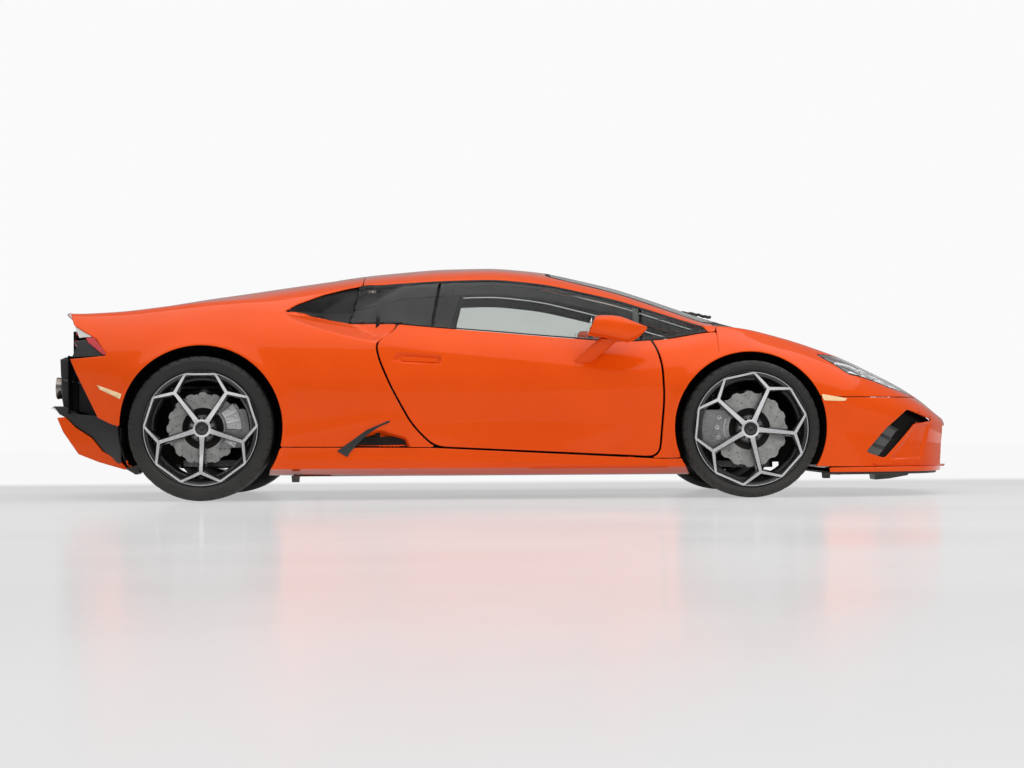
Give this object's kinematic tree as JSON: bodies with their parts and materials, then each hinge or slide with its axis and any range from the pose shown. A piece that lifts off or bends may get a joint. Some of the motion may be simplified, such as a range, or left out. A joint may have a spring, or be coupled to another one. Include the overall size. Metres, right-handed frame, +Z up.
{
  "type": "mid-engined two-seat coupe",
  "caption": "Low mid-engined two-seat sports coupe with opening doors, luggage lid and engine cover, steered front wheels and free-rolling wheels.",
  "frame": {"origin": "on the ground, midway along the length and on the centre plane", "axes": "+X forward, +Y to the car's left, +Z up"},
  "size_m": [4.52, 2.218, 1.1569],
  "materials": {
    "trim": "matt black plastic",
    "paint": "gloss orange paint",
    "structure": "plain aluminium",
    "disc": "turned",
    "glass": "tinted",
    "engine": "cast",
    "exhaust": "polished",
    "lens": "clear",
    "steel": "cast and machined",
    "rim": "gloss black with machined faces",
    "seat": "black hide",
    "lens_red": "red and clear lens",
    "tyre": "matt"
  },
  "bodies": {
    "car": {"arch_liners": "trim", "bumper_front": "paint", "chassis_tub": "structure", "cowl": "trim", "dashboard": "trim", "diffuser": "trim", "engine": "engine", "exhausts": "exhaust", "front_grilles": "trim", "front_wings": "paint", "headlamps": "lens", "quarter_glass": "glass", "rear_fascia": "trim", "rear_quarters": "paint", "roof_frame": "paint", "seats": "seat", "side_skirts": "paint", "splitter_front": "trim", "spoiler": "paint", "steering_wheel": "trim", "suspension": "steel", "tail_lamps": "lens_red", "uprights_rear": "steel", "windscreen": "glass"},
    "bonnet": {"bonnet": "paint"},
    "engine_cover": {"engine_cover": "paint"},
    "door_left": {"door_left": "paint", "door_glass_left": "glass", "mirror_left": "paint"},
    "door_right": {"door_right": "paint", "door_glass_right": "glass", "mirror_right": "paint"},
    "knuckle_left": {"knuckle_front_left": "steel"},
    "knuckle_right": {"knuckle_front_right": "steel"},
    "wheel_front_left": {"tyre_front_left": "tyre", "rim_front_left": "rim", "disc_front_left": "disc"},
    "wheel_front_right": {"tyre_front_right": "tyre", "rim_front_right": "rim", "disc_front_right": "disc"},
    "wheel_rear_left": {"tyre_rear_left": "tyre", "rim_rear_left": "rim", "disc_rear_left": "disc"},
    "wheel_rear_right": {"tyre_rear_right": "tyre", "rim_rear_right": "rim", "disc_rear_right": "disc"}
  },
  "joints": [
    {"name": "steer_left", "type": "hinge", "parent": "car", "child": "knuckle_left", "pos_m": [1.21, 0.782, 0.3275], "axis": [0, 0, 1], "range_deg": [-30, 30]},
    {"name": "steer_right", "type": "hinge", "parent": "car", "child": "knuckle_right", "pos_m": [1.21, -0.782, 0.3275], "axis": [0, 0, 1], "range_deg": [-30, 30]},
    {"name": "spin_front_left", "type": "hinge", "parent": "knuckle_left", "child": "wheel_front_left", "pos_m": [1.21, 0.834, 0.3275], "axis": [0, 1, 0], "continuous": true},
    {"name": "spin_front_right", "type": "hinge", "parent": "knuckle_right", "child": "wheel_front_right", "pos_m": [1.21, -0.834, 0.3275], "axis": [0, 1, 0], "continuous": true},
    {"name": "spin_rear_left", "type": "hinge", "parent": "car", "child": "wheel_rear_left", "pos_m": [-1.41, 0.81, 0.3455], "axis": [0, 1, 0], "continuous": true},
    {"name": "spin_rear_right", "type": "hinge", "parent": "car", "child": "wheel_rear_right", "pos_m": [-1.41, -0.81, 0.3455], "axis": [0, 1, 0], "continuous": true},
    {"name": "door_left_hinge", "type": "hinge", "parent": "car", "child": "door_left", "pos_m": [0.71, 0.9065, 0.465], "axis": [0, 0, -1], "range_deg": [0, 62]},
    {"name": "door_right_hinge", "type": "hinge", "parent": "car", "child": "door_right", "pos_m": [0.71, -0.9065, 0.465], "axis": [0, 0, 1], "range_deg": [0, 62]},
    {"name": "bonnet_hinge", "type": "hinge", "parent": "car", "child": "bonnet", "pos_m": [1.22, 0, 0.819], "axis": [0, -1, 0], "range_deg": [0, 55]},
    {"name": "engine_cover_hinge", "type": "hinge", "parent": "car", "child": "engine_cover", "pos_m": [-0.77, 0, 1.082], "axis": [0, 1, 0], "range_deg": [0, 50]}
  ],
  "couplings": [
    {"joint": "steer_right", "follows": "steer_left", "ratio": 1}
  ]
}
